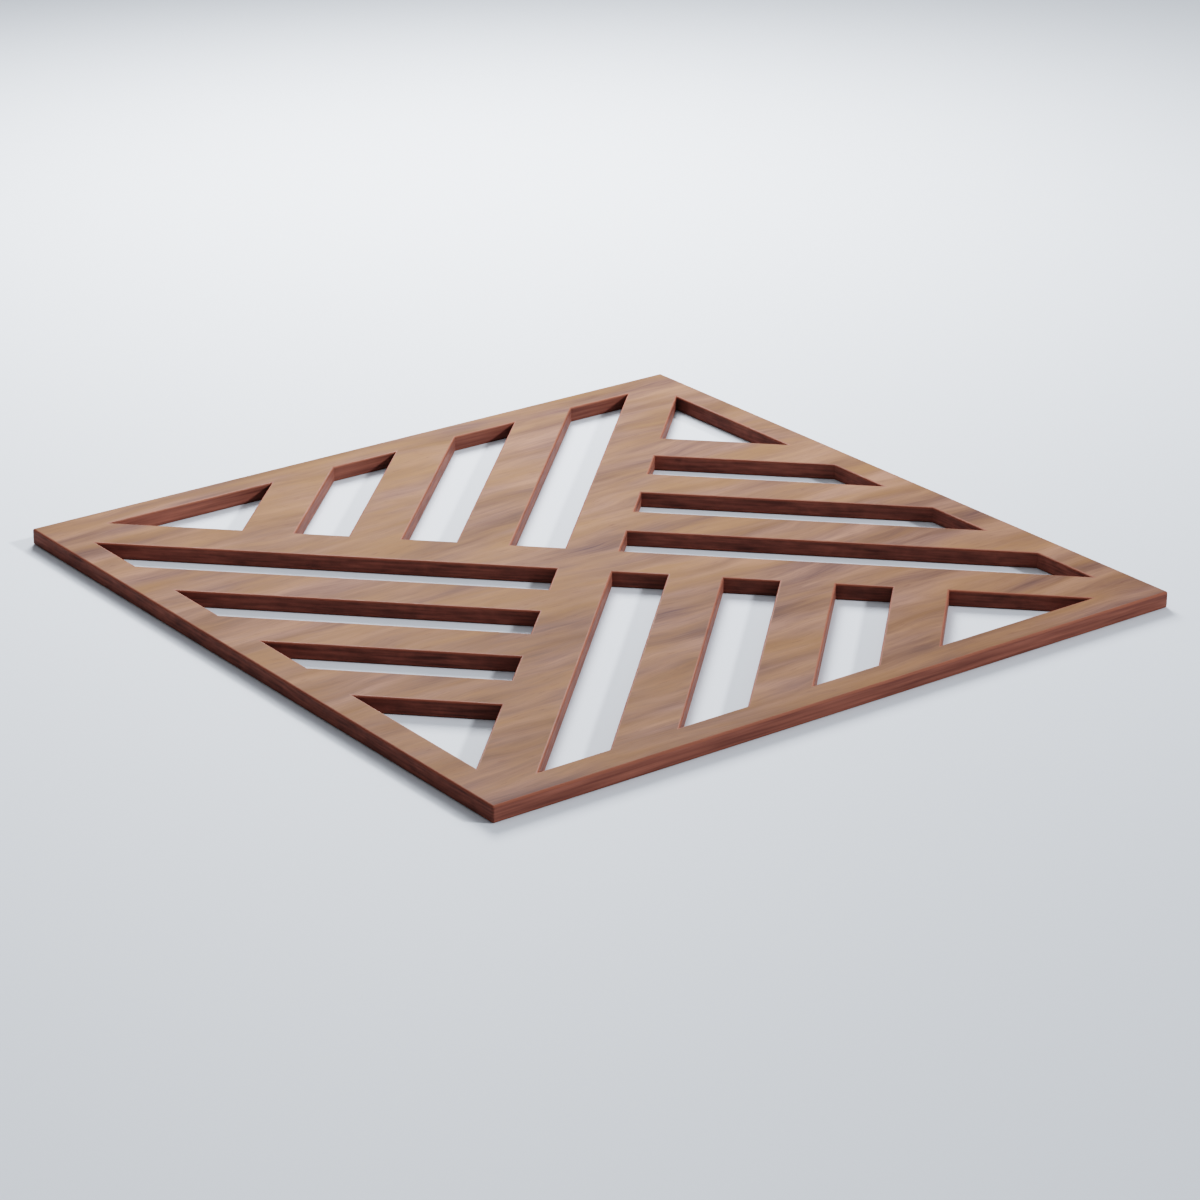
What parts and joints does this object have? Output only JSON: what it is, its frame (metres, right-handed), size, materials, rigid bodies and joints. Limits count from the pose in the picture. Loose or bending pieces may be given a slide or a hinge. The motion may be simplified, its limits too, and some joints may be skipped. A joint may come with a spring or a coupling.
{
  "type": "fretwork wall panel",
  "caption": "Square flat wooden fretwork panel for a wall: crossing diagonal bands, with parallel diagonal slots and corner triangles turning pinwheel-fashion round the centre.",
  "frame": {"origin": "centre of the flat back face, on the wood where the two diagonal bands cross", "axes": "+Z square to the board, out of the front face; X and Y along the square's sides; the wood grain runs along Y"},
  "size_m": [0.61, 0.61, 0.0127],
  "materials": {
    "walnut": "lightly oiled, satin, with darker reddish cut edges"
  },
  "bodies": {
    "root": {"fretwork_panel": "walnut"}
  },
  "joints": []
}
